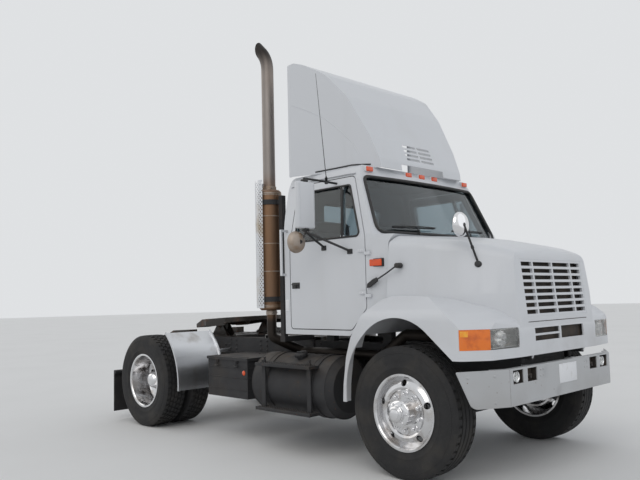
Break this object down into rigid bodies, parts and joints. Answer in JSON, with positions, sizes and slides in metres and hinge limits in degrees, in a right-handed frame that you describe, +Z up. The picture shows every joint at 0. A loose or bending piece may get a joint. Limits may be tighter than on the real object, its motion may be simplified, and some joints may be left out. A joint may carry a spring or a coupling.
{
  "type": "semi truck tractor unit",
  "caption": "Conventional day-cab road tractor with roof fairing, tilting hood, opening doors, steered front wheels, twin rear wheels, fifth wheel and upright exhaust.",
  "frame": {"origin": "middle of the truck's length and width, on the road", "axes": "+X to the front of the truck, +Y to its left, +Z up"},
  "size_m": [5.255, 2.862, 4.13],
  "materials": {
    "white_paint": "white vehicle paint, slightly dull",
    "bumper_paint": "light grey painted steel",
    "black_paint": "black chassis paint, dusty",
    "cast_metal": "raw cast iron, oily",
    "polished_wheel": "polished wheel",
    "stainless": "polished stainless sheet",
    "tyre": "worn black tyre rubber",
    "black_rubber": "black rubber",
    "glass": "clear glass with a faint tint",
    "lens": "amber lamp lens",
    "stack_steel": "heat-tinted exhaust steel",
    "greasy_steel": "rusty steel with old grease",
    "seat_fabric": "dark grey woven cloth",
    "cab_plastic": "dark grey moulded plastic",
    "mirror_black": "black mirror frame with a white back",
    "aluminium_plank": "weathered aluminium tread plank"
  },
  "bodies": {
    "chassis": {"frame_rails": "black_paint", "crossmembers": "black_paint", "front_axle_beam": "black_paint", "front_springs": "black_paint", "rear_axle": "black_paint", "rear_springs": "black_paint", "engine_block": "cast_metal", "transmission": "cast_metal", "drive_shaft": "black_paint", "radiator": "black_paint", "front_bumper": "bumper_paint", "hood_brackets": "black_paint", "cab_shell": "white_paint", "cab_glass": "glass", "dashboard": "cab_plastic", "steering_wheel": "cab_plastic", "seat_bases": "black_paint", "seats": "seat_fabric", "cab_mounts": "black_rubber", "grab_handles": "stainless", "roof_fairing": "white_paint", "body_lamps": "lens", "muffler": "stack_steel", "exhaust_pipes": "stack_steel", "heat_shield": "stainless", "exhaust_bracket": "black_paint", "fuel_tanks": "black_paint", "tank_steps": "black_paint", "battery_box": "black_paint", "air_tanks": "black_paint", "deck_planks": "aluminium_plank", "quarter_fenders": "stainless", "mudflaps": "black_rubber", "flap_hangers": "black_paint", "fifth_wheel_base": "greasy_steel"},
    "hood": {"hood_shell": "white_paint", "grille": "white_paint", "headlamps": "lens", "hood_mirror": "mirror_black", "hood_latches": "black_rubber"},
    "door_left": {"door_left": "white_paint", "door_glass_left": "glass", "mirror_left": "mirror_black"},
    "door_right": {"door_right": "white_paint", "door_glass_right": "glass", "mirror_right": "mirror_black"},
    "steering_left": {"knuckle_left": "cast_metal"},
    "steering_right": {"knuckle_right": "cast_metal"},
    "tie_rod": {"tie_rod": "black_paint"},
    "wheel_front_left": {"front_wheel_left": "polished_wheel", "front_tyre_left": "tyre"},
    "wheel_front_right": {"front_wheel_right": "polished_wheel", "front_tyre_right": "tyre"},
    "wheels_rear_left": {"rear_wheels_left": "polished_wheel", "rear_tyres_left": "tyre"},
    "wheels_rear_right": {"rear_wheels_right": "polished_wheel", "rear_tyres_right": "tyre"},
    "fifth_wheel": {"fifth_wheel_plate": "greasy_steel"}
  },
  "joints": [
    {"name": "hood_tilt", "type": "hinge", "parent": "chassis", "child": "hood", "pos_m": [2.5675, 0, 0.925], "axis": [0, 1, 0], "range_deg": [0, 65]},
    {"name": "door_left_swing", "type": "hinge", "parent": "chassis", "child": "door_left", "pos_m": [1.3835, 1.009, 1.6], "axis": [0, 0, -1], "range_deg": [0, 75]},
    {"name": "door_right_swing", "type": "hinge", "parent": "chassis", "child": "door_right", "pos_m": [1.3835, -1.009, 1.6], "axis": [0, 0, 1], "range_deg": [0, 75]},
    {"name": "steer_right", "type": "hinge", "parent": "chassis", "child": "steering_right", "pos_m": [1.8325, -0.83, 0.517], "axis": [0, 0, 1], "range_deg": [-36, 36]},
    {"name": "steer_left", "type": "hinge", "parent": "chassis", "child": "steering_left", "pos_m": [1.8325, 0.83, 0.517], "axis": [0, 0, 1], "range_deg": [-36, 36]},
    {"name": "tie_rod_swing", "type": "hinge", "parent": "steering_right", "child": "tie_rod", "pos_m": [1.6425, -0.83, 0.395], "axis": [0, 0, 1], "range_deg": [-36, 36]},
    {"name": "front_left_spin", "type": "hinge", "parent": "steering_left", "child": "wheel_front_left", "pos_m": [1.8325, 1, 0.517], "axis": [0, 1, 0], "continuous": true},
    {"name": "front_right_spin", "type": "hinge", "parent": "steering_right", "child": "wheel_front_right", "pos_m": [1.8325, -1, 0.517], "axis": [0, 1, 0], "continuous": true},
    {"name": "rear_left_spin", "type": "hinge", "parent": "chassis", "child": "wheels_rear_left", "pos_m": [-1.9115, 0.92, 0.517], "axis": [0, 1, 0], "continuous": true},
    {"name": "rear_right_spin", "type": "hinge", "parent": "chassis", "child": "wheels_rear_right", "pos_m": [-1.9115, -0.92, 0.517], "axis": [0, 1, 0], "continuous": true},
    {"name": "fifth_wheel_tilt", "type": "hinge", "parent": "chassis", "child": "fifth_wheel", "pos_m": [-1.51305, 0, 1.12012], "axis": [0, 1, 0], "range_deg": [-9, 15]}
  ],
  "couplings": [
    {"joint": "steer_left", "follows": "steer_right", "ratio": 1},
    {"joint": "tie_rod_swing", "follows": "steer_right", "ratio": -1}
  ]
}
